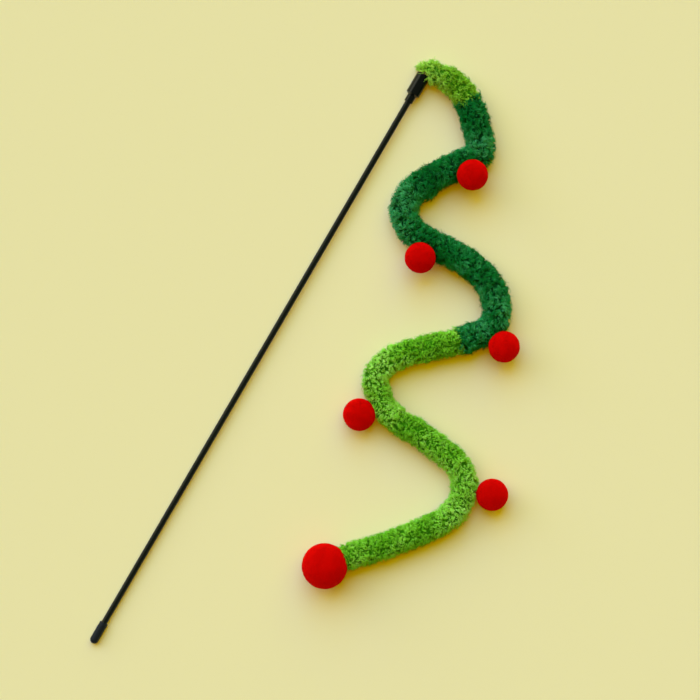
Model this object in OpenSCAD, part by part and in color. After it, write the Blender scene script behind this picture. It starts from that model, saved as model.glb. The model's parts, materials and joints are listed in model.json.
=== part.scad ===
// Cat teaser wand: a thin rod with a rubber cap on its butt and a moulded socket on its tip,
// and a fluffy tail on a limp cord, with five small felt balls and a larger one at its end.
// The wand lies along Y on the table, z = 0, with its tip towards +Y and its tail on the +X side.
// The origin is on the table below the middle of the wand.

/* [Wand] */
// Whole length, from the butt to the socket's mouth
wand_length = 440; // [300:5:600]
// Diameter of the rod
rod_d = 4; // [3:0.1:5]
// Bevel round each end of the rod
rod_bevel = 0.3; // [0.1:0.05:0.6]

/* [Butt cap] */
// Thickness of the rubber round the rod
cap_wall = 0.9; // [0.6:0.1:2]
// Length of the cap with its round end
cap_length = 15.8; // [10:0.2:30]
// Thickness of the closed end
cap_floor = 3.8; // [2:0.2:6]
// Bevel at the open edge
cap_bevel = 0.35; // [0.1:0.05:0.5]

/* [Tip socket] */
// Thickness of the neck round the rod
neck_wall = 0.9; // [0.6:0.1:2]
// Length of the neck
neck_length = 5; // [2:0.5:10]
// Length of the sloping shoulder
shoulder_length = 1.2; // [0.5:0.1:3]
// Length of the barrel, from the shoulder to the mouth
barrel_length = 15.2; // [13:0.2:30]
// Thickness of the barrel round the knot
barrel_wall = 1.65; // [1:0.05:3]
// Rounding of the mouth's edge
mouth_round = 0.6; // [0.2:0.1:0.9]
// Thickness of the lip that holds the knot
lip_thickness = 1.2; // [0.8:0.1:2]
// How far the rod goes into the socket
rod_grip = 13; // [8:0.5:13.5]

/* [Cord] */
// Diameter of the core cord
cord_d = 2.4; // [1.6:0.1:3]
// Diameter of the knots at its two ends
knot_d = 5.6; // [5.2:0.1:7]

/* [Plush] */
// Diameter of the fluffy tail
plush_d = 17.5; // [14:0.5:20]

/* [Balls] */
// Diameter of the five small balls
ball_d = 20; // [16:0.5:24]
// Diameter of the ball at the tail's end
end_ball_d = 30; // [24:0.5:36]
// Diameter of the sewing thread
thread_d = 0.8; // [0.5:0.1:1]

/* [Bends] */
// How far the upper colour join bends away from the rod
upper_bend_out = 30; // [0:1:40]
// How far the upper colour join bends towards the rod
upper_bend_in = 5; // [0:1:20]
// How far the lower colour join bends away from the rod
lower_bend_out = 30; // [0:1:40]
// How far the lower colour join bends towards the rod
lower_bend_in = 10; // [0:1:40]

/* [Hidden] */
$fn = 48;

// Radii
rod_r = rod_d / 2;
cord_r = cord_d / 2;
knot_r = knot_d / 2;
plush_r = plush_d / 2;
ball_r = ball_d / 2;
end_ball_r = end_ball_d / 2;
thread_r = thread_d / 2;

// Clearances
press_gap = 0.02;
cord_gap = 0.3;
knot_gap = 0.3;
felt_gap = 0.15;
thread_gap = 0.1;
winding_gap = 0.15;
bend_gap = 0.3;
touch_gap = 0.05;
// What a cut runs past the solid that it cuts
overrun = 0.5;

// Thread wound round the cord, in turns that press on each other
winding_r = cord_r + winding_gap + thread_r;
turn_step_share = 0.9;
seam_turns = 3;
ball_turns = 2;

// The two turns of a knot
turn_share = 0.45;
turn_r = knot_r * turn_share;
knot_length = 3 * turn_r;

// The cap and the socket, round the rod's axis
cap_r = rod_r + cap_wall;
neck_r = rod_r + neck_wall;
pocket_r = knot_r + knot_gap;
barrel_r = pocket_r + barrel_wall;
mouth_r = cord_r + cord_gap;
socket_length = neck_length + shoulder_length + barrel_length;
socket_start = wand_length - socket_length;
barrel_start = socket_start + neck_length + shoulder_length;
rod_length = wand_length - cap_floor - touch_gap - socket_length + rod_grip;

// The wand leans by this angle, because the barrel is thicker than the cap and both touch the table
lean = asin((barrel_r - cap_r) / (barrel_start - cap_r));
butt = [0, -wand_length * cos(lean) / 2, cap_r * cos(lean) - cap_r * sin(lean)];
mouth = butt + wand_length * [0, cos(lean), sin(lean)];

// The tail's route, from the swing's pivot just outside the mouth to the middle of the end ball,
// in X and Y from the middle of the mouth
route = [
    [0, 1], [1.7, 5], [6, 6.5], [13, 5.5], [24, 3.5], [34, -1],
    [45, -10], [55, -20.5], [58.8, -27], [57, -32.5], [49.5, -42], [38, -60], [32.5, -73],
    [33.5, -84], [41, -92.5], [52, -95.7], [66, -95], [81, -94], [95, -95], [108, -99],
    [118, -107], [124, -117], [123.5, -124.5], [117.5, -134], [110, -142],
    [99, -152.3], [86, -164.7], [76, -177.5], [74.3, -192], [86.5, -204], [98, -208.2],
    [122, -209.4], [147, -213], [159, -219.8], [165, -234.5], [161, -251.5], [148, -269.7],
    [134.5, -286.5], [120.5, -301], [107.8, -316.4]
];
last = len(route) - 1;
// The points at which the plush changes colour, and their stations, of which there are two to a point
upper_join = 5;
lower_join = 24;
upper_station = 2 * upper_join;
lower_station = 2 * lower_join;
// The thread of each colour join is wound on its light green side
upper_seam = upper_station - 1;
lower_seam = lower_station + 1;

// The route climbs from the mouth's height to that of the plush, and at its end to the ball's middle
plush_sides = 12;
cord_sides = 8;
plush_z = plush_r * cos(180 / plush_sides);
mouth_climb_shares = [0, 0.25, 0.75];
ball_climb_shares = [0.05, 0.3, 1];
function mix(a, b, share) = a + (b - a) * share;
function route_z(i) =
    i < len(mouth_climb_shares) ? mix(mouth.z, plush_z, mouth_climb_shares[i]) :
    i > last - len(ball_climb_shares) ?
        mix(plush_z, end_ball_r, ball_climb_shares[i - last + len(ball_climb_shares) - 1]) :
    plush_z;

// A smooth line through the points, straight out of the mouth and straight on inside the end ball
function point(i) = i < 0 ? route[0] - (route[1].y - route[0].y) * [0, 2] : route[i];
function smooth(a, b, c, d, t) =
    b + t * (c - a) / 2 + t * t * (a - 2.5 * b + 2 * c - d / 2)
    + t * t * t * (3 * b - a - 3 * c + d) / 2;
function line_at(i, t) =
    i == last ? route[last] :
    i == last - 1 ? mix(route[i], route[last], t) :
    smooth(point(i - 1), point(i), point(i + 1), point(i + 2), t);
stations = [
    for (i = [0 : last], t = i < last ? [0, 0.5] : [0])
        let (p = line_at(i, t), z = mix(route_z(i), route_z(min(i + 1, last)), t))
            [mouth.x + p.x, mouth.y + p.y, z]
];
ends = len(stations) - 1;

// Directions at each station: along the line, level to its left, and square to both
function unit(v) = v / norm(v);
along = [for (j = [0 : ends]) unit(stations[min(j + 1, ends)] - stations[max(j - 1, 0)])];
left = [for (t = along) unit([-t.y, t.x, 0])];
up = [for (j = [0 : ends]) cross(along[j], left[j])];

// The room on one side of each station before the tube would meet itself inside a bend,
// or the wand's length where the line never turns that way
function room(j, side) = min([
    wand_length,
    for (s = stations)
        let (d = s - stations[j], across = side * d * left[j])
            if (across > 0) d * d / (2 * across)
]);
room_left = [for (j = [0 : ends]) room(j, 1)];
room_right = [for (j = [0 : ends]) room(j, -1)];
pinch_share = 0.92;
function pinched(j, across) =
    max(min(across, pinch_share * room_left[j]), -pinch_share * room_right[j]);

// The plush swells from the mouth to its full size
plush_first = 2;
mouth_swell_shares = [0.45, 0.68, 0.85, 0.94];
function plush_radius(j) =
    let (k = j - plush_first) k < len(mouth_swell_shares) ? plush_r * mouth_swell_shares[k] : plush_r;

// How far a point of an end ring stands back from its pivot, so that the bend has room on both sides
function set_back(across, bend) =
    bend_gap / 2 + abs(across) * tan((across > 0 ? bend[0] : bend[1]) / 2);
function ring(j, r, sides, way = 0, bend = [0, 0], gap = 0) = [
    for (k = [0 : sides - 1])
        let (
            a = 360 * (k + 0.5) / sides,
            across = pinched(j, r * cos(a)),
            back = gap + set_back(across, bend)
        )
            stations[j] + across * left[j] + [0, 0, r * sin(a)] + way * back * along[j]
];
upper_bend = [upper_bend_out, upper_bend_in];
lower_bend = [lower_bend_out, lower_bend_in];

// The five small balls: station, side, the share of the plush that the ball presses in, and
// the angle at which it leans over the plush, or -1 where it lies on the table
balls = [
    [19, 1, 0.6, 43],
    [31, -1, 0.5, 34],
    [44, 1, 0.35, 16],
    [58, -1, 0.2, -1],
    [67, 1, 0, -1]
];
function ball_reach(b) = plush_r * (1 - b[2]) + ball_r;
function ball_lean(b) = b[3] < 0 ? asin((ball_r - stations[b[0]].z) / ball_reach(b)) : b[3];
function ball_way(b) = b[1] * cos(ball_lean(b)) * left[b[0]] + sin(ball_lean(b)) * up[b[0]];
function ball_middle(b) = stations[b[0]] + ball_reach(b) * ball_way(b);

// Faces of a tube's side, from ring to ring, with the rings' points numbered from start
function side_faces(rings, sides, start, turned) = [
    for (i = [0 : rings - 2], k = [0 : sides - 1])
        let (
            a = start + i * sides + k,
            b = start + i * sides + (k + 1) % sides,
            c = a + sides,
            d = b + sides
        )
            each turned ? [[a, b, c], [b, d, c]] : [[a, c, b], [b, c, d]]
];
// Faces of a flat ring between an outer and an inner ring of points
function rim_faces(outer, inner, sides, turned) = [
    for (k = [0 : sides - 1])
        let (a = outer + k, b = outer + (k + 1) % sides, c = inner + k, d = inner + (k + 1) % sides)
            each turned ? [[a, b, c], [b, d, c]] : [[a, c, b], [b, c, d]]
];
// Faces of a closed end round a middle point
function fan_faces(start, middle, sides, turned) = [
    for (k = [0 : sides - 1])
        let (a = start + k, b = start + (k + 1) % sides)
            turned ? [a, b, middle] : [a, middle, b]
];

// Places children on a station with +Z along the line
module on_line(j) {
    t = along[j];
    translate(stations[j]) rotate([0, 90 - asin(t.z), atan2(t.y, t.x)]) children();
}

// Points children from a place along a direction
module pointed(place, way) {
    translate(place) rotate([0, 90 - asin(way.z), atan2(way.y, way.x)]) children();
}

// Places children in the wand's own frame, with the butt at 0 and +Z along the rod
module in_wand() {
    translate(butt) rotate([lean - 90, 0, 0]) children();
}

// A solid round cord between two stations
module cord_tube(first, end, start_bend, end_bend, start_gap = 0, end_gap = 0) {
    middle = [
        for (j = [first : end])
            ring(j, cord_r, cord_sides, j == first ? 1 : j == end ? -1 : 0,
                j == first ? start_bend : end_bend, j == first ? start_gap : end_gap)
    ];
    rings = len(middle);
    start_point = stations[first] + (start_gap + set_back(0, start_bend)) * along[first];
    end_point = stations[end] - (end_gap + set_back(0, end_bend)) * along[end];
    count = rings * cord_sides;
    polyhedron(
        concat([for (r = middle) each r], [start_point, end_point]),
        concat(
            side_faces(rings, cord_sides, 0, false),
            fan_faces(0, count, cord_sides, true),
            fan_faces(count - cord_sides, count + 1, cord_sides, false)
        )
    );
}

// A fluffy tube with a bore for the cord between two stations
module plush_tube(first, end, start_bend, end_bend, start_way = 1, end_way = -1) {
    bore_r = cord_r + cord_gap;
    ways = [for (j = [first : end]) j == first ? start_way : j == end ? end_way : 0];
    bends = [for (j = [first : end]) j == first ? start_bend : end_bend];
    outer = [
        for (j = [first : end])
            ring(j, plush_radius(j), plush_sides, ways[j - first], bends[j - first])
    ];
    inner = [for (j = [first : end]) ring(j, bore_r, plush_sides, ways[j - first], bends[j - first])];
    rings = len(outer);
    count = rings * plush_sides;
    polyhedron(
        [for (r = concat(outer, inner)) each r],
        concat(
            side_faces(rings, plush_sides, 0, false),
            side_faces(rings, plush_sides, count, true),
            rim_faces(0, count, plush_sides, true),
            rim_faces(count - plush_sides, 2 * count - plush_sides, plush_sides, false)
        )
    );
}

// What a sewn ball presses and pierces in the plush
module ball_dent(b) {
    translate(ball_middle(b)) sphere(ball_r + felt_gap);
    pointed(stations[b[0]], ball_way(b)) cylinder(h = ball_reach(b), r = thread_r + thread_gap);
    winding_pocket(b[0], ball_turns);
}

// Turns of thread wound side by side round the cord
module winding(j, turns) {
    step = thread_d * turn_step_share;
    on_line(j) rotate_extrude() {
        for (i = [0 : turns - 1]) {
            translate([winding_r, (i - (turns - 1) / 2) * step]) circle(thread_r, $fn = 24);
        }
    }
}

// The space that a winding takes in the plush
module winding_pocket(j, turns) {
    depth = thread_d * ((turns - 1) * turn_step_share + 1) + 2 * thread_gap;
    on_line(j) translate([0, 0, -depth / 2]) cylinder(h = depth, r = winding_r + thread_r + thread_gap);
}

// A knot of two turns, round its cord's axis
module knot() {
    rotate_extrude() {
        square([knot_r - turn_r, 2 * turn_r]);
        for (z = [turn_r, 2 * turn_r]) {
            translate([knot_r - turn_r, z]) circle(turn_r, $fn = 32);
        }
    }
}
module rod() {
    color("#15181a") in_wand() translate([0, 0, cap_floor + touch_gap]) rotate_extrude() polygon([
        [0, 0],
        [rod_r - rod_bevel, 0],
        [rod_r, rod_bevel],
        [rod_r, rod_length - rod_bevel],
        [rod_r - rod_bevel, rod_length],
        [0, rod_length]
    ]);
}

module butt_cap() {
    bore_r = rod_r + press_gap;
    color("#101314") in_wand() difference() {
        union() {
            translate([0, 0, cap_r]) sphere(cap_r);
            translate([0, 0, cap_r]) cylinder(h = cap_length - cap_r - cap_bevel, r = cap_r);
            translate([0, 0, cap_length - cap_bevel])
                cylinder(h = cap_bevel, r1 = cap_r, r2 = cap_r - cap_bevel);
        }
        translate([0, 0, cap_floor]) cylinder(h = cap_length, r = bore_r);
    }
}

module tip_socket() {
    bore_r = rod_r + press_gap;
    shoulder = neck_length + shoulder_length;
    pocket_end = socket_length - lip_thickness;
    color("#0c0f11") in_wand() translate([0, 0, socket_start]) difference() {
        rotate_extrude() {
            square([neck_r, neck_length]);
            polygon([[0, neck_length], [neck_r, neck_length], [barrel_r, shoulder], [0, shoulder]]);
            translate([0, shoulder]) square([barrel_r, barrel_length - mouth_round]);
            translate([0, shoulder]) square([barrel_r - mouth_round, barrel_length]);
            translate([barrel_r - mouth_round, socket_length - mouth_round]) circle(mouth_round);
        }
        translate([0, 0, -overrun]) cylinder(h = socket_length, r = bore_r);
        translate([0, 0, rod_grip]) cylinder(h = pocket_end - rod_grip, r = pocket_r);
        cylinder(h = socket_length + overrun, r = mouth_r);
    }
}

module cord_anchor() {
    knot_start = wand_length - lip_thickness - touch_gap - knot_length;
    stub_end = wand_length + route[0].y;
    color("#e9e2cf") in_wand() {
        translate([0, 0, knot_start]) knot();
        translate([0, 0, knot_start]) cylinder(h = stub_end - knot_start, r = cord_r);
        translate([0, 0, stub_end]) sphere(cord_r);
    }
}

// The first stretch starts clear of the stub's round end, on which the tail swings
module cord_top() {
    color("#e9e2cf") cord_tube(0, upper_station, [0, 0], upper_bend, cord_r);
}

module cord_middle() {
    color("#e9e2cf") cord_tube(upper_station, lower_station, upper_bend, lower_bend);
}

// The cord ends against its knot, which sits in the middle of the end ball
module cord_bottom() {
    color("#e9e2cf") cord_tube(lower_station, ends, lower_bend, [0, 0], 0, cord_gap);
}

module end_knot() {
    color("#e9e2cf") pointed(stations[ends], along[ends]) knot();
}

module plush_top() {
    color("#76b52e") difference() {
        plush_tube(plush_first, upper_station, [0, 0], upper_bend, 0);
        winding_pocket(upper_seam, seam_turns);
    }
}

module plush_middle() {
    color("#0f6b3c") difference() {
        plush_tube(upper_station, lower_station, upper_bend, lower_bend);
        for (i = [0 : 2]) ball_dent(balls[i]);
    }
}

module plush_bottom() {
    color("#76b52e") difference() {
        plush_tube(lower_station, ends - 1, lower_bend, [0, 0], 1, 0);
        for (i = [3 : 4]) ball_dent(balls[i]);
        winding_pocket(lower_seam, seam_turns);
        translate(stations[ends]) sphere(end_ball_r + felt_gap);
    }
}

module seam_thread_upper() {
    color("#2f7d36") winding(upper_seam, seam_turns);
}

module seam_thread_lower() {
    color("#2f7d36") winding(lower_seam, seam_turns);
}

module ball(b) {
    color("#c80f0c") difference() {
        translate(ball_middle(b)) sphere(ball_r);
        pointed(stations[b[0]], ball_way(b)) cylinder(h = ball_reach(b), r = thread_r + thread_gap);
    }
}

// The thread winds round the cord and runs into the middle of its ball
module ball_thread(b) {
    color("#a51512") {
        winding(b[0], ball_turns);
        pointed(stations[b[0]] + winding_r * ball_way(b), ball_way(b))
            cylinder(h = ball_reach(b) - winding_r - thread_gap, r = thread_r);
    }
}

module end_ball() {
    color("#c80f0c") difference() {
        translate(stations[ends]) sphere(end_ball_r);
        pointed(stations[ends], -along[ends]) cylinder(h = end_ball_r + overrun, r = cord_r + cord_gap);
        pointed(stations[ends] - touch_gap * along[ends], along[ends])
            cylinder(h = knot_length + knot_gap, r = knot_r + knot_gap);
    }
}

rod();
butt_cap();
tip_socket();
cord_anchor();
cord_top();
cord_middle();
cord_bottom();
end_knot();
plush_top();
plush_middle();
plush_bottom();
seam_thread_upper();
seam_thread_lower();
ball(balls[0]);  // ball_1
ball(balls[1]);  // ball_2
ball(balls[2]);  // ball_3
ball(balls[3]);  // ball_4
ball(balls[4]);  // ball_5
ball_thread(balls[0]);  // ball_thread_1
ball_thread(balls[1]);  // ball_thread_2
ball_thread(balls[2]);  // ball_thread_3
ball_thread(balls[3]);  // ball_thread_4
ball_thread(balls[4]);  // ball_thread_5
end_ball();
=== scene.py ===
# %% [markdown]
# A cat teaser wand: a slim black rod with a capped butt and a black socket at its tip. From the
# socket comes a soft cord that is dressed in long-pile plush, light green at both ends and dark
# green between, with felt balls sewn to it and a larger one on its end. The rod and its fittings
# come ready-made from the frame. Everything soft is built here around the same centre line, and
# all sizes are in metres.

import json
import math

import bmesh
import bpy
import numpy as np
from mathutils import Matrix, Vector


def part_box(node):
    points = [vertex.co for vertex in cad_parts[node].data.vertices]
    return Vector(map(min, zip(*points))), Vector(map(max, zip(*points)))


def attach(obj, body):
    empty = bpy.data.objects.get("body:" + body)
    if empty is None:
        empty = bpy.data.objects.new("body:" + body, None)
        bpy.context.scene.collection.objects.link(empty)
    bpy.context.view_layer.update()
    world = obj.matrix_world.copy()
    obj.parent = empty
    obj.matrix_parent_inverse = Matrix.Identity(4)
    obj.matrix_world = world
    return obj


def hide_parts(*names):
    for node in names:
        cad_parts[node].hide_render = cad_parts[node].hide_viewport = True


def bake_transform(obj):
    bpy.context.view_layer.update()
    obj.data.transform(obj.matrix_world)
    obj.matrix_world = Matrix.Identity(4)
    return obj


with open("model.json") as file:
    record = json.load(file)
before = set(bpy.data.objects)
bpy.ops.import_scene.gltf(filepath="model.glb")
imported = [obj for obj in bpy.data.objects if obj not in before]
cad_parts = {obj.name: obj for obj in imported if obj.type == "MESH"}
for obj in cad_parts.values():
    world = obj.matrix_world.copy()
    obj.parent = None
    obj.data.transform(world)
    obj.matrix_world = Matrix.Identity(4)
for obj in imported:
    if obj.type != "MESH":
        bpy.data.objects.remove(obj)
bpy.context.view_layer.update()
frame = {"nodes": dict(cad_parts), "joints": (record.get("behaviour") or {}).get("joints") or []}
nodes = frame["nodes"]
MM = 0.001

# %% [markdown]
# The wand lies flat and is seen from straight above, turned by about thirty degrees. A short lens
# close by would show the sides of the balls, so the camera stands two metres up with a long lens,
# which draws all heights at nearly the same scale. Blender measures a lens by the width that its
# sensor sees, so the height follows from the width of the view.

# %% Camera above the table
VIEW_WIDTH = 0.4667
VIEW_CENTRE = (0.0500, 0.0361)
VIEW_TURN = math.radians(30.28)
LENS_MM = 150
SENSOR_MM = 36
SHARP_HEIGHT = 0.0085

camera_data = bpy.data.cameras.new("camera_above")
camera_data.lens = LENS_MM
camera_data.sensor_width = SENSOR_MM
camera = bpy.data.objects.new("camera_above", camera_data)
camera_height = SHARP_HEIGHT + VIEW_WIDTH * LENS_MM / SENSOR_MM
camera.location = (*VIEW_CENTRE, camera_height)
camera.rotation_euler = (0, 0, VIEW_TURN)
bpy.context.scene.collection.objects.link(camera)
bpy.context.scene.camera = camera
print(f"Camera {camera_height:.3f} m above the table")

# %% [markdown]
# A cord that lies on a table is its route: a list of points that a hand could lay it through. The
# points are the same round numbers as in the model of the rod and its fittings, measured from the
# middle of the socket's mouth. Between them the route is a Catmull-Rom curve, which passes through
# every point and keeps its direction there, so few points give a smooth line. The frame's joints
# say where the mouth is and how high the plush lies.

# %% Route of the tail
ROUTE = [
    (0, 0.001), (0.0017, 0.005), (0.006, 0.0065), (0.013, 0.0055), (0.024, 0.0035),
    (0.034, -0.001), (0.045, -0.010), (0.055, -0.0205), (0.0588, -0.027), (0.057, -0.0325),
    (0.0495, -0.042), (0.038, -0.060), (0.0325, -0.073), (0.0335, -0.084), (0.041, -0.0925),
    (0.052, -0.0957), (0.066, -0.095), (0.081, -0.094), (0.095, -0.095), (0.108, -0.099),
    (0.118, -0.107), (0.124, -0.117), (0.1235, -0.1245), (0.1175, -0.134), (0.110, -0.142),
    (0.099, -0.1523), (0.086, -0.1647), (0.076, -0.1775), (0.0743, -0.192), (0.0865, -0.204),
    (0.098, -0.2082), (0.122, -0.2094), (0.147, -0.213), (0.159, -0.2198), (0.165, -0.2345),
    (0.161, -0.2515), (0.148, -0.2697), (0.1345, -0.2865), (0.1205, -0.301), (0.1078, -0.3164),
]
UPPER_JOIN = 5
LOWER_JOIN = 24
RISE_SHARES = (0, 0.25, 0.75)
END_SHARES = (0.05, 0.3, 1)

hinge_places = {joint["name"]: Vector(joint["pos_m"]) for joint in frame["joints"]}
mouth = hinge_places["tail_swing"] - Vector((0, ROUTE[0][1], 0))
plush_z = hinge_places["upper_bend"].z
end_ball_low, end_ball_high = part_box("end_ball")
end_z = (end_ball_low.z + end_ball_high.z) / 2

heights = [plush_z] * len(ROUTE)
for i, share in enumerate(RISE_SHARES):
    heights[i] = mouth.z + share * (plush_z - mouth.z)
for i, share in enumerate(END_SHARES):
    heights[len(ROUTE) - len(END_SHARES) + i] = plush_z + share * (end_z - plush_z)
route = np.array([(mouth.x + x, mouth.y + y, z) for (x, y), z in zip(ROUTE, heights)])
print(f"Mouth at {tuple(round(v, 4) for v in mouth)}, plush {plush_z:.4f} m up")

# %% Smooth line through the route
STEPS_PER_POINT = 24


def smooth_line(points, steps):
    """Points of a Catmull-Rom curve through the route, evenly spaced in each stretch."""
    # The line leaves the mouth nearly straight ahead, whichever way it turns next.
    before = points[0] - (points[1] - points[0]) * np.array((0, 2, 1))
    after = 2 * points[-1] - points[-2]
    ring = np.vstack([before, points, after])
    line = []
    for i in range(1, len(ring) - 2):
        p0, p1, p2, p3 = ring[i - 1:i + 3]
        for t in np.arange(steps) / steps:
            bend = (2 * p0 - 5 * p1 + 4 * p2 - p3) * t ** 2 + (3 * p1 - p0 - 3 * p2 + p3) * t ** 3
            line.append((2 * p1 + (p2 - p0) * t + bend) / 2)
    line.append(points[-1])
    return np.array(line)


def unit(vectors):
    """The same directions, each one long."""
    return vectors / np.linalg.norm(vectors, axis=-1, keepdims=True)


tail = smooth_line(route, STEPS_PER_POINT)
tail_run = np.append(0, np.cumsum(np.linalg.norm(np.diff(tail, axis=0), axis=1)))
tail_ahead = unit(np.gradient(tail, axis=0))
print(f"The tail's cord is {tail_run[-1] * 1000:.1f} mm long")


# %% Places along the tail
def at(run, values):
    """Values of the smooth line at distances along it from the mouth."""
    return np.stack([np.interp(run, tail_run, values[:, i]) for i in range(3)], axis=-1)


def axes_at(run):
    """The line's middle there, and the directions ahead, to its left and up from it."""
    ahead = unit(at(run, tail_ahead))
    left = unit(np.stack([-ahead[..., 1], ahead[..., 0], 0 * ahead[..., 0]], axis=-1))
    return at(run, tail), ahead, left, np.cross(ahead, left)


def run_of(point):
    """Distance along the tail of a point of the route, halves included."""
    return float(tail_run[round(point * STEPS_PER_POINT)])


upper_run = run_of(UPPER_JOIN)
lower_run = run_of(LOWER_JOIN)
print(f"Joins at {upper_run * 1000:.1f} mm and {lower_run * 1000:.1f} mm")


# %% [markdown]
# Meshes here come from arrays: NumPy works out all corners at once, and Blender takes them as one
# list of points and one of faces. One helper does that, so each piece below only says its shape.

# %% Mesh from arrays
def mesh_piece(name, points, face_groups, smooth=True):
    """A new object from corner points and arrays of corner numbers, one array for each face size."""
    mesh = bpy.data.meshes.new(name)
    sizes = np.concatenate([np.full(len(group), len(group[0])) for group in face_groups])
    mesh.vertices.add(len(points))
    mesh.vertices.foreach_set("co", np.asarray(points, np.float32).ravel())
    mesh.loops.add(int(sizes.sum()))
    mesh.loops.foreach_set("vertex_index", np.concatenate([np.ravel(group) for group in face_groups]))
    mesh.polygons.add(len(sizes))
    mesh.polygons.foreach_set("loop_start", np.append(0, np.cumsum(sizes)[:-1]))
    mesh.polygons.foreach_set("use_smooth", np.full(len(sizes), smooth))
    mesh.update(calc_edges=True)
    piece = bpy.data.objects.new(name, mesh)
    bpy.context.scene.collection.objects.link(piece)
    return piece


def tube_faces(rings, sides):
    """Quads between neighbouring rings, and one many-sided face on each end."""
    first = np.arange(rings - 1)[:, None] * sides
    side = np.arange(sides)[None]
    here, beside = first + side, first + (side + 1) % sides
    quads = np.stack([here, beside, beside + sides, here + sides], axis=-1).reshape(-1, 4)
    start = np.arange(sides)[::-1]
    end = np.arange(sides) + (rings - 1) * sides
    return [quads, np.stack([start, end])]


def tube_points(runs, radii):
    """Rings of points round the tail; radii has a row for each ring and a column for each side."""
    middle, _, left, up = axes_at(runs)
    turn = np.linspace(0, 2 * math.pi, radii.shape[1], endpoint=False)[None, :, None]
    out = np.cos(turn) * left[:, None] + np.sin(turn) * up[:, None]
    return (middle[:, None] + radii[..., None] * out).reshape(-1, 3)


print("Mesh helpers ready")

# %% [markdown]
# The cord inside the plush is what holds the toy together: three plies of twisted cotton, 2.4 mm
# thick. It could be a curve with a round bevel, but a twisted cord isn't round. Its section has
# three lobes that turn as they go along, so it is a tube whose rings are drawn that way. The three
# stretches meet at the joins, where the real cord flexes most and the frame has its hinges.

# %% Cord in three stretches
CORD_D = 2.4 * MM
CORD_PLIES = 3
CORD_SIDES = 18
CORD_RING_STEP = 0.7 * MM
LAY_LENGTH = 9 * MM
LOBE_SHARE = 0.09


def cord_stretch(name, start, end):
    """A three-ply cord along the tail from one distance to another."""
    runs = np.linspace(start, end, int((end - start) / CORD_RING_STEP))
    turn = np.linspace(0, 2 * math.pi, CORD_SIDES, endpoint=False)
    lobes = np.cos(CORD_PLIES * (turn[None] - 2 * math.pi * runs[:, None] / LAY_LENGTH))
    radii = CORD_D / 2 * (1 - LOBE_SHARE + LOBE_SHARE * lobes)
    return mesh_piece(name, tube_points(runs, radii), tube_faces(len(runs), CORD_SIDES))


core_top = cord_stretch("core_cord_top", 0, upper_run)
core_middle = cord_stretch("core_cord_middle", upper_run, lower_run)
core_bottom = cord_stretch("core_cord_bottom", lower_run, tail_run[-1])
stretches = (core_top, core_middle, core_bottom)
print("Corners of the cord stretches:", [len(piece.data.vertices) for piece in stretches])

# %% [markdown]
# The balls are needed early, because the plush has to keep clear of them. The frame's boxes give
# their middles and sizes.

# %% Where the balls are
BALL_NAPS = {"ball_1": 0.4, "ball_2": 0.4, "ball_3": 0.6, "ball_4": 0.9, "ball_5": 0.8, "end_ball": 0.3}


def middle_and_radius(node):
    """Middle and half width of a felt ball, whose nap stands a little proud of its node."""
    low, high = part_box(node)
    radius = (high.x - low.x) / 2 + BALL_NAPS[node] * MM
    return Vector(((low.x + high.x) / 2, (low.y + high.y) / 2, low.z + radius)), radius


balls = {name: middle_and_radius(name) for name in BALL_NAPS}
for name, (middle, radius) in balls.items():
    print(name, [round(v * 1000, 1) for v in middle], f"radius {radius * 1000:.1f} mm")

# %% [markdown]
# Plush is a knitted strip with pile standing on it. The strip is sewn round the cord, so under the
# pile lies a soft tube, a little lumpy. It shows only as a dark ground between the strands, so it
# is a plain tube with noise in its radius. Pushing its points out of the balls gives the hollows
# that the balls are sewn into.

# %% Keeping clear of balls, socket and table
MAT_R = 6.8 * MM
TABLE_GAP = 0.1 * MM
SOCKET_R = 4.75 * MM
SOCKET_LENGTH = 16 * MM


def keep_clear(points, gap):
    """Moves points out of the balls and the socket, and up to the table."""
    for middle, radius in balls.values():
        away = points - np.array(middle)
        distance = np.linalg.norm(away, axis=-1, keepdims=True)
        points = points + away / distance * np.maximum(0, radius + gap - distance)
    behind = (points[..., 1:2] < mouth.y + gap) & (points[..., 1:2] > mouth.y - SOCKET_LENGTH)
    away = (points - np.array(mouth)) * np.array((1, 0, 1))
    distance = np.maximum(np.linalg.norm(away, axis=-1, keepdims=True), 1e-6)
    points = points + behind * away / distance * np.maximum(0, SOCKET_R + gap - distance)
    points[..., 2] = np.maximum(points[..., 2], TABLE_GAP + gap)
    return points


print("Clearances ready")

# %% Bumps over a tube
RIPPLE_WAVES = 6
RIPPLE_PITCHES_MM = (5, 24)


def ripple(run, turn, seed):
    """Smooth bumps over a tube's surface, from about -1 to 1."""
    rng = np.random.default_rng(seed)
    total = 0 * run
    for wave in range(RIPPLE_WAVES):
        pitch = rng.uniform(*RIPPLE_PITCHES_MM) * MM
        twist = rng.integers(-2, 3) * turn
        total = total + np.sin(2 * math.pi * run / pitch + twist + rng.uniform(0, 6))
    return 2 * total / RIPPLE_WAVES


print("Bumps near the mouth:", ripple(np.array([0, 0.01, 0.02]), 0, 1).round(2))

# %% Thickness of the backing
PLUSH_START = 0.7 * MM
PLUSH_END = run_of(38.4)
MOUTH_SHARE = 0.7
MOUTH_TAPER = 14 * MM
END_SHARE = 0.45
END_TAPER = 5 * MM
SPILL = 3.0 * MM
SPILL_RUN = 9 * MM
SPILL_WIDTH = 5.5 * MM
SPILL_LEFT_SHARE = 0.35


def end_taper(run):
    """How the tube draws in at the mouth and at the end ball."""
    from_mouth = np.clip(MOUTH_SHARE + (run - PLUSH_START) / MOUTH_TAPER, 0, 1)
    return from_mouth * np.clip(END_SHARE + (PLUSH_END - run) / END_TAPER, 0, 1)


def hump(run, place, width):
    """A smooth hump of height 1 at a place along the tail."""
    return np.exp(-((run - place) / width) ** 2)


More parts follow.
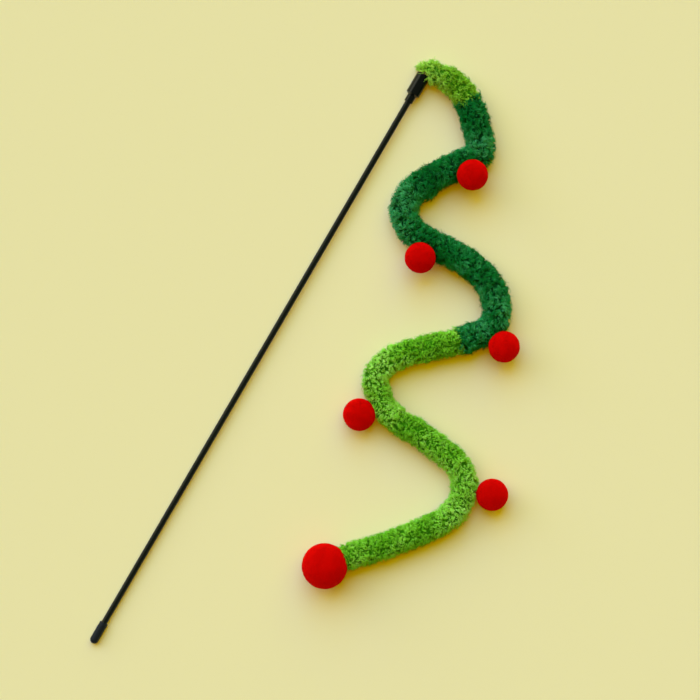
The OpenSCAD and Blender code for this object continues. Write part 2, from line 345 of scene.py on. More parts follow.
def spill(run, turn):
    """How much further out the plush hangs on the right, where it turns down from the mouth."""
    return -SPILL * hump(run, SPILL_RUN, SPILL_WIDTH) * (SPILL_LEFT_SHARE + np.cos(turn))


def mat_radius(run, turn):
    """The backing's radius without its lumps."""
    return MAT_R * end_taper(run) + spill(run, turn)


print(f"Backing from {PLUSH_START / MM:.1f} to {PLUSH_END / MM:.1f} mm along the tail")

# %% Backing strips
MAT_SIDES = 28
MAT_RING_STEP = 1.2 * MM
MAT_RIPPLE = 0.35 * MM
MAT_GAP = 0.2 * MM


def backing(name, start, end, seed):
    """The knitted tube under the pile, from one distance to another."""
    runs = np.linspace(start, end, max(4, int((end - start) / MAT_RING_STEP)))
    turn = np.linspace(0, 2 * math.pi, MAT_SIDES, endpoint=False)
    wide = np.broadcast_to(runs[:, None], (len(runs), MAT_SIDES))
    radii = mat_radius(wide, turn[None]) + MAT_RIPPLE * ripple(wide, turn[None], seed)
    points = keep_clear(tube_points(runs, radii), MAT_GAP)
    return mesh_piece(name, points, tube_faces(len(runs), MAT_SIDES))


mouth_split = (PLUSH_START + upper_run) / 2
mat_mouth = backing("backing_mouth", PLUSH_START, mouth_split, 10)
mat_top = backing("backing_top", mouth_split, upper_run, 11)
mat_middle = backing("backing_middle", upper_run, lower_run, 12)
mat_bottom = backing("backing_bottom", lower_run, PLUSH_END, 13)
mats = (mat_mouth, mat_top, mat_middle, mat_bottom)
print("Backing faces:", [len(piece.data.polygons) for piece in mats])

# %% [markdown]
# The pile is thousands of short curly strands that stand in small clumps. Blender's hair would be
# quick to grow, but hair isn't a mesh, so it can't be exported, and its curl is hard to steer.
# Here each strand is a thin three-sided tube that bends over in an arc, and all strands of a piece
# are worked out as one array. Strands of a clump share their curl and their tone, which gives the
# mottled look of real plush, and painted shade makes each strand darker at its root than at its tip.

# %% Shape of one strand
STRAND_R = 0.19 * MM
STRAND_HEIGHTS = np.array((0, 0.3, 0.6, 0.85, 1.0))
STRAND_TAPERS = np.array((1, 1, 0.95, 0.7))
STRAND_SIDES = 3


def strand_faces(count):
    """Triangles and quads of all strands."""
    rings = len(STRAND_TAPERS)
    corners = rings * STRAND_SIDES + 1
    quads, caps = [], [(0, 2, 1)]
    for ring in range(rings - 1):
        for side in range(STRAND_SIDES):
            a = ring * STRAND_SIDES + side
            b = ring * STRAND_SIDES + (side + 1) % STRAND_SIDES
            quads.append((a, b, b + STRAND_SIDES, a + STRAND_SIDES))
    top = (rings - 1) * STRAND_SIDES
    for side in range(STRAND_SIDES):
        caps.append((top + side, top + (side + 1) % STRAND_SIDES, corners - 1))
    first = np.arange(count)[:, None, None] * corners
    return (first + np.array(quads)).reshape(-1, 4), (first + np.array(caps)).reshape(-1, 3)


print("Corners of a strand:", len(STRAND_TAPERS) * STRAND_SIDES + 1)

# %% Tones along the tail
PATCH_LENGTH = 7 * MM
PATCH_SHARE = 0.14
PATCH_TWIST = 1.5
BEND_WINDOW = 10 * MM
FULL_BEND = 0.9
BEND_TONES = (-0.21, 0.19)


def patch_tone(run, turn):
    """Slow changes of tone along and round the tail."""
    twist = PATCH_TWIST * np.sin(turn + run / (3 * PATCH_LENGTH))
    return PATCH_SHARE * np.sin(run / PATCH_LENGTH + twist)


def bend_tone(run):
    """Lighter tone where the tail bends, darker where it runs straight."""
    before = axes_at(run - BEND_WINDOW)[1]
    after = axes_at(run + BEND_WINDOW)[1]
    turned = np.arccos(np.clip((before * after).sum(axis=-1), -1, 1))
    return np.interp(turned, (0, FULL_BEND), BEND_TONES)


print("Tone shift every 50 mm:", bend_tone(np.arange(0, tail_run[-1], 50 * MM)).round(2))

# %% Where the clumps stand
STRANDS_PER_MM = 135
STRANDS_PER_CLUMP = 5
GOLDEN_ANGLE = 2.39996
TURN_JITTER = 0.25
HEADING_SWING = 2.6
HEADING_JITTER = 0.9
CURLS = (0.6, 2.3)
CLUMP_HEIGHTS = (0.82, 1.08)
TONE_SPREAD = 2.2
CLUMP_CONTRAST = 0.75


def scatter_clumps(rng, start, end, seed):
    """Place, heading, curl, tone and height of the clumps, repeated for each of their strands."""
    clumps = int((end - start) / MM * STRANDS_PER_MM / STRANDS_PER_CLUMP)
    # The golden angle spreads the clumps evenly round the tube, and jitter hides the pattern.
    run = start + (end - start) * (np.arange(clumps) + rng.uniform(0, 1, clumps)) / clumps
    turn = np.arange(clumps) * GOLDEN_ANGLE + rng.normal(0, TURN_JITTER, clumps)
    heading = HEADING_SWING * ripple(run, turn, seed + 7) + rng.normal(0, HEADING_JITTER, clumps)
    curl = rng.uniform(*CURLS, clumps)
    tone = 0.5 + CLUMP_CONTRAST * (rng.beta(TONE_SPREAD, TONE_SPREAD, clumps) - 0.5)
    tone = tone + patch_tone(run, turn) + bend_tone(run)
    height = rng.uniform(*CLUMP_HEIGHTS, clumps)
    return [np.repeat(values, STRANDS_PER_CLUMP) for values in (run, turn, heading, curl, tone, height)]


print("Strands on the tail: about", int(STRANDS_PER_MM * tail_run[-1] / MM))

# %% Hollows and painted shade at the balls
DIMPLE = 5 * MM
DIMPLE_SHADE = 0.35
DIMPLE_DEPTH = 0.3


def pulled_in(points):
    """How much the thread of the nearest ball pulls the plush in there, from 0 to 1; it also sets painted
    shade.
    """
    gaps = []
    for middle, radius in balls.values():
        gaps.append(np.linalg.norm(points - np.array(middle), axis=-1) - radius)
    return np.clip(1 - np.min(gaps, axis=0) / DIMPLE, 0, 1)


print("Pulled in beside a ball:", pulled_in(np.array([balls["ball_1"][0]])))

# %% Arcs and skins of strands
ARC_SWING = 0.75


def strand_arcs(root, rise, over, height, curl):
    """Points up each strand, which bends over in an arc, and its direction at each point."""
    phase = curl[:, None] * STRAND_HEIGHTS[None]
    reach = height / np.sin(np.minimum(curl, math.pi / 2))
    lift = reach[:, None] * np.sin(phase)
    swing = ARC_SWING * reach[:, None] * (1 - np.cos(phase))
    path = root[:, None] + lift[..., None] * rise[:, None] + swing[..., None] * over[:, None]
    rising = np.cos(phase)[..., None] * rise[:, None]
    tangent = unit(rising + ARC_SWING * np.sin(phase)[..., None] * over[:, None])
    return path, tangent


def strand_skins(path, tangent, across, thick):
    """Corners of a three-sided tube round each path, with one point at its tip."""
    rings = len(STRAND_TAPERS)
    inward = np.cross(across[:, None], tangent)[:, :rings, None]
    corner = np.arange(STRAND_SIDES) * 2 * math.pi / STRAND_SIDES
    ring = np.cos(corner)[:, None] * across[:, None, None] + np.sin(corner)[:, None] * inward
    ring_r = (thick[:, None] * STRAND_TAPERS[None])[:, :, None, None]
    points = path[:, :rings, None] + ring_r * ring
    return np.concatenate([points.reshape(len(path), -1, 3), path[:, -1:]], axis=1)


print("Strands bend by", CURLS, "radians")

# %% Tones on the points
TONE_CELLS = 64
CELL_PLACES = (0.2, 0.5, 0.8)
MAP_MARGIN = 0.02


def store_tones(piece, tones):
    """Stores tone and height on the points, and a map that lays equal tones on one strip."""
    rings = len(STRAND_TAPERS)
    corners = rings * STRAND_SIDES + 1
    tone = np.repeat(tones, corners)
    height = np.tile(np.append(np.repeat(STRAND_HEIGHTS[:rings], STRAND_SIDES), 1), len(tones))
    for label, values in (("pile_tone", tone), ("pile_height", height)):
        attribute = piece.data.attributes.new(label, "FLOAT", "POINT")
        attribute.data.foreach_set("value", values.astype(np.float32))
    across = np.tile(np.append(np.tile(CELL_PLACES, rings), 0.5), len(tones))
    u = (np.floor(tone * TONE_CELLS) + across) / TONE_CELLS
    v = MAP_MARGIN + (1 - 2 * MAP_MARGIN) * height
    corner_of = np.zeros(len(piece.data.loops), np.int64)
    piece.data.loops.foreach_get("vertex_index", corner_of)
    layer = piece.data.uv_layers.new(name="OFBake")
    layer.data.foreach_set("uv", np.stack([u[corner_of], v[corner_of]], axis=-1).ravel())


print("Tones on the map:", TONE_CELLS)

# %% Growing the pile
ROOT_DEPTH = 0.4 * MM
CLUMP_SPREAD = 0.45 * MM
CLUMP_GATHER = 0.35
WISP_SHARE = 0.2
WISP_LENGTH = 1.0 * MM
WISP_THICKNESS = 0.55
HEIGHTS = (0.9, 1.08)
HEADING_SPREAD = 0.35
SPREADS = (0.8, 1.2)
TONE_JITTER = 0.07
LAST_TONE = 0.999


def grow_pile(name, start, end, tip_radius, lean, seed):
    """Clumps of curly strands on the backing between two distances along the tail."""
    rng = np.random.default_rng(seed)
    run, turn, heading, curl, tone, clump_height = scatter_clumps(rng, start, end, seed)
    count = len(run)
    middle, ahead, left, up = axes_at(run)
    out = np.cos(turn)[:, None] * left + np.sin(turn)[:, None] * up
    side = np.cross(ahead, out)
    offset_run = rng.normal(0, CLUMP_SPREAD, count)
    offset_side = rng.normal(0, CLUMP_SPREAD, count)
    spread = offset_run[:, None] * ahead + offset_side[:, None] * side
    gather = 1 - CLUMP_GATHER * STRAND_HEIGHTS[None, :, None]

    mat_r = mat_radius(run, turn)
    dimple = pulled_in(middle + out * MAT_R)
    wisp = rng.uniform(0, 1, count) < WISP_SHARE
    height = tip_radius(run, turn) - mat_r + ROOT_DEPTH
    height = height * clump_height * rng.uniform(*HEIGHTS, count)
    height = (height + WISP_LENGTH * wisp) * (1 - DIMPLE_DEPTH * dimple)

    rise = out + lean(run, turn)[:, None] * ahead
    heading = heading + rng.normal(0, HEADING_SPREAD, count)
    over = np.cos(heading)[:, None] * ahead + np.sin(heading)[:, None] * side
    across = unit(np.cross(rise, over))
    over = np.cross(across, unit(rise))
    root = middle + out * (mat_r - ROOT_DEPTH)[:, None]
    path, tangent = strand_arcs(root, rise, over, height, curl * rng.uniform(*SPREADS, count))
    path = keep_clear(path + spread[:, None] * gather, STRAND_R)

    thick = STRAND_R * np.where(wisp, WISP_THICKNESS, 1) * rng.uniform(*SPREADS, count)
    points = strand_skins(path, tangent, across, thick)
    piece = mesh_piece(name, points.reshape(-1, 3), strand_faces(count))
    # Painted shade: the pile's tone drops beside each ball.
    tone = tone - DIMPLE_SHADE * dimple + rng.normal(0, TONE_JITTER, count)
    store_tones(piece, np.clip(tone, 0, LAST_TONE))
    return piece


print("Strands in a clump:", STRANDS_PER_CLUMP)

# %% [markdown]
# The pile reaches about 9 mm from the middle on the light plush and a little more on the dark. A
# real pile is never even, so bumps run over it, it hangs further out where it turns down from the
# mouth, and the dark plush has one longer tuft. Round the socket's mouth it is brushed back over
# the rim, and at both joins the light pile fans over the dark one, because it is sewn on last.

# %% Fullness of the pile
LIGHT_R = 8.8 * MM
DARK_R = 9.6 * MM
PILE_RIPPLE = 0.45 * MM
MOUTH_FULLNESS = 0.84
MOUTH_FILLS_BY = 6 * MM
TUFT = 2.4 * MM
TUFT_RUN = 117.5 * MM
TUFT_WIDTH = 4.5 * MM


def tuft(run, turn):
    """One longer tuft on the left side of the dark plush."""
    return TUFT * hump(run, TUFT_RUN, TUFT_WIDTH) * np.clip(np.cos(turn), 0, 1) ** 2


def fullness(middle_r, seed):
    """A rule for the pile's outer radius, fuller here and thinner there."""
    def radius(run, turn):
        start = np.clip((run - PLUSH_START) / MOUTH_FILLS_BY, 0, 1)
        pile_r = middle_r + PILE_RIPPLE * ripple(run, turn, seed)
        pile_r = pile_r * (MOUTH_FULLNESS + (1 - MOUTH_FULLNESS) * start)
        return pile_r + spill(run, turn) + tuft(run, turn)
    return radius


print(f"The light pile stands {(LIGHT_R - MAT_R) / MM:.1f} mm, the dark {(DARK_R - MAT_R) / MM:.1f} mm")

# %% Lean of the pile
FAN_LENGTH = 3.5 * MM
FAN_LEAN = 0.8
BRUSHED_LENGTH = 9 * MM
BRUSHED_SHARE = 0.4


def lean_top(run, turn):
    """Backwards at the mouth's left, forwards over the dark pile at the upper join."""
    leftward = BRUSHED_SHARE + (1 - BRUSHED_SHARE) * np.cos(turn)
    back = np.clip(1 - (run - PLUSH_START) / BRUSHED_LENGTH, 0, 1) * leftward
    return FAN_LEAN * np.clip(1 - (upper_run - run) / FAN_LENGTH, 0, 1) - back


def lean_none(run, turn):
    """Straight out."""
    return 0 * run


def lean_bottom(run, turn):
    """Backwards over the dark pile at the lower join."""
    return -FAN_LEAN * np.clip(1 - (run - lower_run) / FAN_LENGTH, 0, 1)


print("Leans ready")

# %% Pile pieces
FULLNESS_SEED = 30
PILE_SEED = 50
SECTIONS = {
    "top": (PLUSH_START, upper_run, 2, LIGHT_R, lean_top),
    "middle": (upper_run, lower_run, 4, DARK_R, lean_none),
    "bottom": (lower_run, PLUSH_END, 4, LIGHT_R, lean_bottom),
}
pile = {}
for section, (start, end, parts, pile_r, lean) in SECTIONS.items():
    pile[section] = []
    for part in range(parts):
        span = (end - start) / parts
        number = 10 * len(pile) + part
        piece = grow_pile(f"pile_{section}_{part + 1}", start + part * span, start + (part + 1) * span,
                          fullness(pile_r, FULLNESS_SEED + number), lean, PILE_SEED + number)
        pile[section].append(piece)
    print(section, f"{span * 1000:.0f} mm a piece,", len(piece.data.polygons), "faces")

# %% [markdown]
# The balls are felted wool: round, but never quite, with a faint fuzz. A sphere with many evenly
# spaced points is displaced by soft noise, and a few thousand fine fibres lie almost flat on it.

# %% Shell of a felt ball
BALL_CUTS = 6
BALL_LUMP = 0.18 * MM
LUMP_WAVES = (2.0, 3.5, 6.0)
WAVES_OF_EACH = 3


def ball_shell(middle, radius, rng):
    """Corners and faces of a slightly uneven ball that stays above the table."""
    grid = bmesh.new()
    bmesh.ops.create_icosphere(grid, subdivisions=BALL_CUTS, radius=1)
    way = np.array([v.co for v in grid.verts])
    faces = np.array([[v.index for v in f.verts] for f in grid.faces])
    grid.free()
    scales = np.array(LUMP_WAVES * WAVES_OF_EACH)[:, None]
    waves = rng.normal(0, 1, (len(scales), 3)) * scales
    lumps = sum(np.sin(way @ wave + rng.uniform(0, 6)) for wave in waves) / len(LUMP_WAVES)
    points = np.array(middle) + way * (radius - BALL_LUMP + BALL_LUMP * np.clip(lumps, -1, 1))[:, None]
    points[:, 2] = np.maximum(points[:, 2], TABLE_GAP)
    return points, faces


print("Ball faces:", 20 * 4 ** (BALL_CUTS - 1))

# %% Fibres on a felt ball
FIBRE_COUNT = 2600
FIBRE_COUNT_R = 10 * MM
FIBRE_R = 0.035 * MM
FIBRE_LENGTH = 1.3 * MM
FIBRE_LENGTHS = (0.5, 1.2)
FIBRE_PLACES = np.array((-0.5, 0, 0.5))
FIBRE_RISES = np.array((-0.12, 0.10, 0.04)) * MM
FIBRE_TAPERS = np.array((0.4, 1, 0.4))
FIBRE_DEPTH = 0.6 * BALL_LUMP


def fibre_faces(count, first_corner):
    """Quads and end triangles of all fibres, each of three rings of three corners."""
    quads = []
    for ring in (0, 3):
        for side in range(3):
            a, b = ring + side, ring + (side + 1) % 3
            quads.append((a, b, b + 3, a + 3))
    caps = [(0, 2, 1), (6, 7, 8)]
    first = (first_corner + np.arange(count) * 9)[:, None, None]
    return [(first + np.array(quads)).reshape(-1, 4), (first + np.array(caps)).reshape(-1, 3)]


def ball_fibres(middle, radius, rng):
    """Corners of short fibres that lie almost flat on a ball."""
    # FIBRE_COUNT is for a ball of radius FIBRE_COUNT_R; all balls are equally dense.
    count = int(FIBRE_COUNT * (radius / FIBRE_COUNT_R) ** 2)
    out = unit(rng.normal(0, 1, (count, 3)))
    flat = unit(np.cross(out, rng.normal(0, 1, (count, 3))))
    length = FIBRE_LENGTH * rng.uniform(*FIBRE_LENGTHS, count)
    base = np.array(middle) + out * (radius - FIBRE_DEPTH)
    path = base[:, None] + flat[:, None] * (length[:, None] * FIBRE_PLACES)[..., None]
    path = path + out[:, None] * FIBRE_RISES[None, :, None]
    sideways = np.cross(out, flat)
    corner = np.arange(3) * 2 * math.pi / 3
    ring = np.cos(corner)[:, None] * sideways[:, None, None] + np.sin(corner)[:, None] * out[:, None, None]
    points = (path[:, :, None] + FIBRE_R * FIBRE_TAPERS[None, :, None, None] * ring).reshape(-1, 3)
    points[:, 2] = np.maximum(points[:, 2], TABLE_GAP / 2)
    return points, count


print(f"A fibre is up to {FIBRE_LENGTH * FIBRE_LENGTHS[1] / MM:.1f} mm long")

# %% Felt balls
BALL_SEED = 70


def felt_ball(name, middle, radius, seed):
    """A slightly uneven ball with short fibres on its surface."""
    rng = np.random.default_rng(seed)
    shell, faces = ball_shell(middle, radius, rng)
    fibres, count = ball_fibres(middle, radius, rng)
    return mesh_piece(name, np.vstack([shell, fibres]), [faces, *fibre_faces(count, len(shell))])


felt_balls = {}
for number, (name, (middle, radius)) in enumerate(balls.items()):
    felt_balls[name] = felt_ball("felt_" + name, middle, radius, BALL_SEED + number)
print("Felt ball faces:", {name: len(piece.data.polygons) for name, piece in felt_balls.items()})


# %% [markdown]
# Blender's shader nodes are sums and mixes on wires between sockets. Written out node by node they
# are hard to read, so one small class stands for a wire: adding or multiplying wires adds the Math
# node, and one method adds any other node. Each finish below then reads as a short recipe.

# %% Shader recipes
class Wire:
    """A node's output socket; arithmetic on it adds Math nodes."""

    def __init__(self, tree, socket):
        self.tree = tree
        self.socket = socket

    def node(self, kind, settings=None, sockets=None, output=0):
        """Adds a node of any kind: its settings first, then its inputs."""
        new = self.tree.nodes.new(kind)
        for label, value in (settings or {}).items():
            if label == "stops":
                ramp_stops(new.color_ramp, value)
            else:
                setattr(new, label, value)
        for label, value in (sockets or {}).items():
            if isinstance(value, Wire):
                self.tree.links.new(value.socket, new.inputs[label])
            else:
                new.inputs[label].default_value = value
        return Wire(self.tree, new.outputs[output])

    def math(self, operation, first, second):
        return self.node("ShaderNodeMath", {"operation": operation}, {0: first, 1: second})

    def __add__(self, other):
        return self.math("ADD", self, other)

    def __rsub__(self, other):
        return self.math("SUBTRACT", other, self)

    def __mul__(self, other):
        return self.math("MULTIPLY", self, other)

    __radd__ = __add__
    __rmul__ = __mul__


def ramp_stops(ramp, stops):
    """Sets a colour ramp to a list of places and colours."""
    while len(ramp.elements) > 1:
        ramp.elements.remove(ramp.elements[-1])
    ramp.elements[0].position, ramp.elements[0].color = stops[0]
    for place, colour in stops[1:]:
        ramp.elements.new(place).color = colour


def tint(red, green, blue):
    """A colour given as it looks on screen, from 0 to 255, as Blender's linear RGBA."""
    linear = []
    for level in (red, green, blue):
        # The sRGB curve is straight near black and a power curve above it.
        straight = level / 255 / 12.92
        linear.append(straight if level <= 10.3 else ((level / 255 + 0.055) / 1.055) ** 2.4)
    return (*linear, 1.0)


print("Pale green is", [round(level, 3) for level in tint(110, 180, 50)])


# %% A new finish and how to put it on
def finish(name, **constants):
    """A new material; constants set its shader's own sockets. Returns it with its first wire."""
    material = bpy.data.materials.new(name)
    material.use_nodes = True
    shader = material.node_tree.nodes["Principled BSDF"]
    for label, value in constants.items():
        shader.inputs[label.replace("_", " ")].default_value = value
    place = material.node_tree.nodes.new("ShaderNodeTexCoord")
    return material, shader, Wire(material.node_tree, place.outputs["Object"])


def feed(shader, label, wire):
    """Links a wire to one of the shader's sockets."""
    wire.tree.links.new(wire.socket, shader.inputs[label])


def bump(wire, height, strength, distance):
    """A bump from a height wire; distance is in metres."""
    return wire.node("ShaderNodeBump", {}, {"Height": height, "Strength": strength, "Distance": distance})


def noise(wire, scale, detail=2.0, roughness=0.5):
    """Noise in real space; scale counts its grains in a metre."""
    return wire.node("ShaderNodeTexNoise", {}, {"Vector": wire, "Scale": scale, "Detail": detail,
                                                "Roughness": roughness})


def blend_tints(wire, share, first, second):
    """A mix of two colours by a wire from 0 to 1."""
    return wire.node("ShaderNodeMix", {"data_type": "RGBA"}, {"Factor": share, 6: first, 7: second}, 2)


def dress(piece, material):
    """Gives a piece or a frame node one material."""
    piece.data.materials.clear()
    piece.data.materials.append(material)


print("Finishes can be mixed")


# %% [markdown]
# The pile's colour has only two causes: the tone of its clump, darkened beside the balls as painted
# shade, and how far up the strand a point lies, which sets the painted shade at the roots. Both were
# stored on the points, so the material reads them as attributes. A little sheen stands for the fine
# hairs that are too small to build.

# %% Finish of the pile
def pile_finish(name, root, low, middle, high):
    """Strands with painted shade at the root, with a tone of their own further up."""
    material, shader, wire = finish(name, Roughness=0.8, Sheen_Weight=0.15, Sheen_Roughness=0.5)
    shader.inputs["Specular IOR Level"].default_value = 0.1
    shader.inputs["Sheen Tint"].default_value = high
    tone = wire.node("ShaderNodeAttribute", {"attribute_name": "pile_tone"}, {}, 2)
    height = wire.node("ShaderNodeAttribute", {"attribute_name": "pile_height"}, {}, 2)
    stops = [(0.1, low), (0.5, middle), (0.92, high)]
    upper = wire.node("ShaderNodeValToRGB", {"stops": stops}, {"Fac": tone})
    # Painted shade: towards the root each strand turns to the root colour.
    stops = [(0.1, (0, 0, 0, 1)), (0.6, (1, 1, 1, 1))]
    depth = wire.node("ShaderNodeValToRGB", {"stops": stops}, {"Fac": height})
    feed(shader, "Base Color", blend_tints(wire, depth, root, upper))
    return material


# The first colour of each finish is painted shade at the roots.
pile_finishes = {
    "top": pile_finish("light_green_pile",
                       tint(73, 142, 18), tint(108, 183, 28), tint(146, 216, 52), tint(174, 232, 86)),
    "middle": pile_finish("dark_green_pile",
                          tint(0, 82, 18), tint(3, 110, 36), tint(15, 141, 57), tint(76, 188, 108)),
    "bottom": pile_finish("lower_light_green_pile",
                          tint(69, 150, 14), tint(102, 193, 25), tint(147, 233, 60), tint(186, 252, 110)),
}
for section, pieces in pile.items():
    for piece in pieces:
        dress(piece, pile_finishes[section])


def mat_finish(name, colour, shade):
    """The knitted ground: rows of small loops."""
    material, shader, wire = finish(name, Roughness=0.95)
    shader.inputs["Specular IOR Level"].default_value = 0.1
    grain = noise(wire, 1400)
    feed(shader, "Base Color", blend_tints(wire, grain, colour, shade))
    feed(shader, "Normal", bump(wire, grain, 0.6, 0.3 * MM))
    return material


light_mat = mat_finish("light_backing", tint(40, 104, 6), tint(60, 132, 14))
dark_mat = mat_finish("dark_backing", tint(0, 48, 18), tint(5, 72, 34))
dress(mat_mouth, light_mat)
dress(mat_top, light_mat)
dress(mat_middle, dark_mat)
dress(mat_bottom, light_mat)
print("Pile finishes:", [material.name for material in pile_finishes.values()])

# %% [markdown]
# Felt is matt and soft: it scatters light at grazing angles, which the shader's sheen and its
# diffuse roughness do. Its colour varies a little with the wool, and its bumps are finer than the
# mesh, so noise makes them. Where a ball is pressed into the pile, painted shade darkens its wool.
# The Ambient Occlusion node measures how closed in a point is, so it finds that rim.

# %% Finish of the felt
PAINTED_SHADE_SHARE = 0.7
PAINTED_SHADE_REACH = 7 * MM


def felt_finish():
    """Red wool felt, with painted shade where the pile closes round it."""
    material, shader, wire = finish("red_felt", Roughness=0.9, Diffuse_Roughness=1.0,
                                    Sheen_Weight=1.0, Sheen_Roughness=0.8)
    shader.inputs["Specular IOR Level"].default_value = 0.05
    shader.inputs["Sheen Tint"].default_value = tint(255, 6, 4)
    cloud = noise(wire, 260, 3.0)
    fuzz = noise(wire, 2600, 2.0, 0.6)
    wool = blend_tints(wire, cloud, tint(175, 0, 0), tint(199, 1, 0))
    open_share = wire.node("ShaderNodeAmbientOcclusion", {"samples": 8}, {"Distance": PAINTED_SHADE_REACH}, "AO")
    # Painted shade: towards dark red where the pile closes round the ball.
    painted_shade = PAINTED_SHADE_SHARE * (1 - open_share)
    feed(shader, "Base Color", blend_tints(wire, painted_shade, wool, tint(60, 0, 0)))
    feed(shader, "Normal", bump(wire, fuzz, 0.35, 0.2 * MM))
    return material


red_felt = felt_finish()
for piece in felt_balls.values():
    dress(piece, red_felt)


# %% Finish of cords and threads
def thread_finish(name, colour, shade, twist_scale):
    """Twisted yarn: thin slanting bands of light and shade."""
    material, shader, wire = finish(name, Roughness=0.8, Sheen_Weight=0.2)
    bands = wire.node("ShaderNodeTexWave", {"bands_direction": "DIAGONAL"},
                      {"Vector": wire, "Scale": twist_scale, "Distortion": 1.5})
    bands = Wire(bands.tree, bands.socket.node.outputs["Fac"])
    feed(shader, "Base Color", blend_tints(wire, bands, colour, shade))
    feed(shader, "Normal", bump(wire, bands, 0.5, 0.1 * MM))
    return material


cord_cotton = thread_finish("cotton_cord", tint(198, 186, 150), tint(226, 216, 186), 900)
green_thread = thread_finish("green_thread", tint(20, 92, 36), tint(52, 128, 54), 1800)
red_thread = thread_finish("red_thread", tint(150, 8, 8), tint(196, 18, 14), 1800)
for piece in (*stretches, nodes["end_knot"], nodes["cord_anchor"]):
    dress(piece, cord_cotton)
for node in ("seam_thread_upper", "seam_thread_lower"):
    dress(nodes[node], green_thread)
for number in range(1, 6):
    dress(nodes[f"ball_thread_{number}"], red_thread)
print("Threads dressed")


# %% [markdown]
# Black plastic shows almost only what it reflects, so its finish is in its roughness: the drawn
# rod is satin with fine lines along it, the moulded socket glossy, and the rubber cap dull.

# %% Finish of rod, socket and cap
def black_finish(name, tints, roughness, level, grains, depth):
    """A black plastic or rubber; tint and roughness vary between two values over a fine grain."""
    material, shader, wire = finish(name)
    shader.inputs["Specular IOR Level"].default_value = level
    stretched = wire.node("ShaderNodeMapping", {}, {"Vector": wire, "Scale": grains})
    grain = noise(stretched, 1.0, 3.0, 0.6)
    cloud = noise(wire, 60, 3.0)
    feed(shader, "Base Color", blend_tints(wire, cloud, *tints))
    feed(shader, "Roughness", roughness[0] + (roughness[1] - roughness[0]) * grain)
    feed(shader, "Normal", bump(wire, grain, 0.3, depth))
    return material


rod_plastic = black_finish("black_rod", (tint(2, 4, 3), tint(8, 11, 9)), (0.3, 0.45),
                           level=0.4, grains=(2500, 60, 2500), depth=0.03 * MM)
socket_plastic = black_finish("black_socket", (tint(2, 4, 3), tint(6, 9, 8)), (0.14, 0.22),
                              level=0.35, grains=(900, 900, 900), depth=0.01 * MM)
cap_rubber = black_finish("black_cap", (tint(14, 18, 24), tint(24, 30, 38)), (0.4, 0.6),
                          level=0.3, grains=(1500, 1500, 1500), depth=0.05 * MM)
dress(nodes["rod"], rod_plastic)
dress(nodes["tip_socket"], socket_plastic)
dress(nodes["butt_cap"], cap_rubber)
print("Black finishes dressed")

# %% [markdown]
# The floor is a plain pale yellow sheet, wide enough to run out of every view.

# %% Floor
FLOOR_HALF = 6.0
FLOOR_TINT = tint(230, 224, 164)


def floor_sheet():
    """A flat sheet under the wand."""
    corners = np.array([(-1, -1, 0), (1, -1, 0), (1, 1, 0), (-1, 1, 0)]) * FLOOR_HALF
    sheet = mesh_piece("floor", corners, [np.array([(0, 1, 2, 3)])], smooth=False)
    material, shader, _ = finish("pale_floor", Roughness=1.0)
    shader.inputs["Specular IOR Level"].default_value = 0.0
    shader.inputs["Base Color"].default_value = FLOOR_TINT
    dress(sheet, material)
    return sheet


floor_sheet()
print("Floor laid")

# %% [markdown]
# The wand lies under a large softbox at the top of the picture. A sun lamp with a wide angle acts
# as one that is equally bright everywhere. Here two of them shine from the same side: a wide one
# gives the warm part of the light and soft golden shadows, and a narrower one the blue part. Two
# weak lamps shine from the left, three without shadows stand for light that the table throws back,
# and the room fills in the rest. Together they bring a white sheet on the table to exactly white,
# so every colour renders about as it is written.

# %% Parts of the light
ROOM = (0.14, 0.07, 0.00)
BOUNCE = (0.15, 0.04, 0.00)
KEY = (0.04, 0.15, 0.74)
WARM_KEY = (0.59, 0.66, 0.00)
SIDE = (0.08, 0.08, 0.06)
COOL_SIDE = (0.00, 0.00, 0.20)

all_light = zip(ROOM, BOUNCE, KEY, WARM_KEY, SIDE, COOL_SIDE)
print("White renders at", [round(sum(parts), 2) for parts in all_light])


# %% A soft lamp
def soft_lamp(name, colour, turn, height, spread, casts=True, shines=True):
    """A distant soft lamp that brings a level sheet to the given colour."""
    lamp = bpy.data.lights.new(name, "SUN")
    lamp.angle = spread
    lamp.use_shadow = casts
    strength = max(colour)
    lamp.color = [level / strength for level in colour]
    lamp.energy = strength * math.pi / math.sin(height)
    holder = bpy.data.objects.new(name, lamp)
    holder.visible_glossy = shines
    towards = Vector((math.cos(turn), math.sin(turn), math.tan(height)))
    holder.rotation_euler = towards.to_track_quat("Z", "Y").to_euler()
    bpy.context.scene.collection.objects.link(holder)
    print(name, "energy", round(lamp.energy, 2))

# %% Lamps
KEY_TURN = math.radians(11)
KEY_HEIGHT = math.radians(47)
KEY_SPREAD = math.radians(50)
WARM_KEY_SPREAD = math.radians(100)
SIDE_TURN = math.radians(180)
SIDE_HEIGHT = math.radians(28)
SIDE_SPREAD = math.radians(40)
BOUNCE_LAMPS = 3
BOUNCE_HEIGHT = math.radians(30)

top_turn = VIEW_TURN + math.radians(90)
soft_lamp("key_lamp", KEY, top_turn + KEY_TURN, KEY_HEIGHT, KEY_SPREAD, shines=False)
soft_lamp("warm_key_lamp", WARM_KEY, top_turn + KEY_TURN, KEY_HEIGHT, WARM_KEY_SPREAD, shines=False)
soft_lamp("side_lamp", SIDE, SIDE_TURN, SIDE_HEIGHT, SIDE_SPREAD)
soft_lamp("cool_side_lamp", COOL_SIDE, SIDE_TURN, SIDE_HEIGHT, SIDE_SPREAD, shines=False)
for number in range(BOUNCE_LAMPS):
    soft_lamp(f"bounce_{number + 1}", [level / BOUNCE_LAMPS for level in BOUNCE],
              top_turn + math.radians(360 / BOUNCE_LAMPS * number), BOUNCE_HEIGHT, 0,
              casts=False, shines=False)

# %% Room light
MIRRORED_TINT = tint(108, 120, 96)


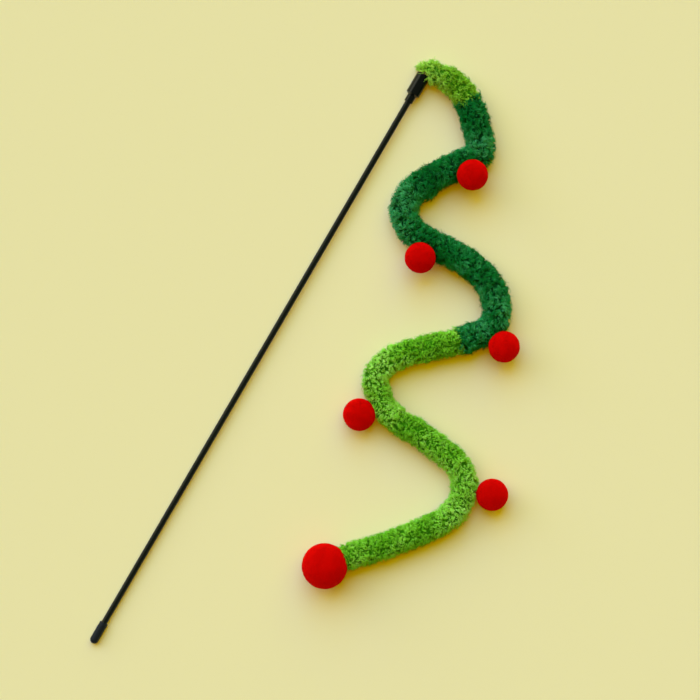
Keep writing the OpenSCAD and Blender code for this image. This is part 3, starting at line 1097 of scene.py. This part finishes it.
def room_light():
    """Warm fill, strongest from overhead; the camera sees the floor's colour and mirrors see grey."""
    world = bpy.data.worlds.new("soft_room")
    bpy.context.scene.world = world
    world.use_nodes = True
    tree = world.node_tree
    path = tree.nodes.new("ShaderNodeLightPath")
    seen = Wire(tree, path.outputs["Is Camera Ray"])
    mirrored = Wire(tree, path.outputs["Is Glossy Ray"])
    way = Wire(tree, tree.nodes.new("ShaderNodeTexCoord").outputs["Generated"])
    overhead = way.node("ShaderNodeSeparateXYZ", {}, {"Vector": way}, 2)
    # Light that fades evenly from the zenith to the horizon brings a level sheet two thirds of it.
    zenith = (*[1.5 * level for level in ROOM], 1.0)
    colour = blend_tints(way, overhead, (0, 0, 0, 1), zenith)
    colour = blend_tints(way, mirrored, colour, MIRRORED_TINT)
    colour = blend_tints(way, seen, colour, FLOOR_TINT)
    tree.links.new(colour.socket, tree.nodes["Background"].inputs["Color"])


room_light()
bpy.context.scene.view_settings.view_transform = "Standard"
print("Lights in the scene:", len(bpy.data.lights))

# %% [markdown]
# Every piece has to move with the right body. Cord, pile and backing at the mouth, and pile and
# backing at a join, lie across a hinge; here their placement is only baked into their points. All
# others ride on one.

# %% Riding on bodies
BEND_REACH = 8 * MM


def bend_at_mouth(piece):
    """Bakes the placement of a piece at the mouth into its points."""
    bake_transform(piece)


def bend_at(piece, run, reach_back=BEND_REACH):
    """Bakes the placement of a piece at a join into its points."""
    middle, ahead, _, _ = axes_at(np.array([run]))
    start = Vector(middle[0] - ahead[0] * reach_back)
    end = Vector(middle[0] + ahead[0] * BEND_REACH)
    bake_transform(piece)


for piece in (core_top, mat_mouth, pile["top"][0]):
    bend_at_mouth(piece)
bend_at(mat_top, upper_run)
bend_at(pile["top"][-1], upper_run)
bend_at(pile["middle"][0], upper_run)
for piece in pile["middle"][1:-1]:
    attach(piece, "tail_middle")
bend_at(pile["middle"][-1], lower_run)
bend_at(pile["bottom"][0], lower_run)
for piece in pile["bottom"][1:]:
    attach(piece, "tail_bottom")
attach(mat_middle, "tail_middle")
# Each cord begins at its join.
bend_at(core_middle, upper_run, reach_back=0)
for piece in (core_bottom, mat_bottom):
    bend_at(piece, lower_run, reach_back=0)
for name, piece in felt_balls.items():
    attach(piece, "tail_middle" if name in ("ball_1", "ball_2", "ball_3") else "tail_bottom")
    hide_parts(name)
print("Pieces ride on their bodies")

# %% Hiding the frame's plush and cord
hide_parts("plush_top")
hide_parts("plush_top")
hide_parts("plush_middle")
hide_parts("plush_bottom")
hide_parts("cord_top")
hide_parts("cord_middle")
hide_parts("cord_bottom")
for section, pieces in pile.items():
    for piece in pieces:
        "plush_dark" if section == "middle" else "plush_light"
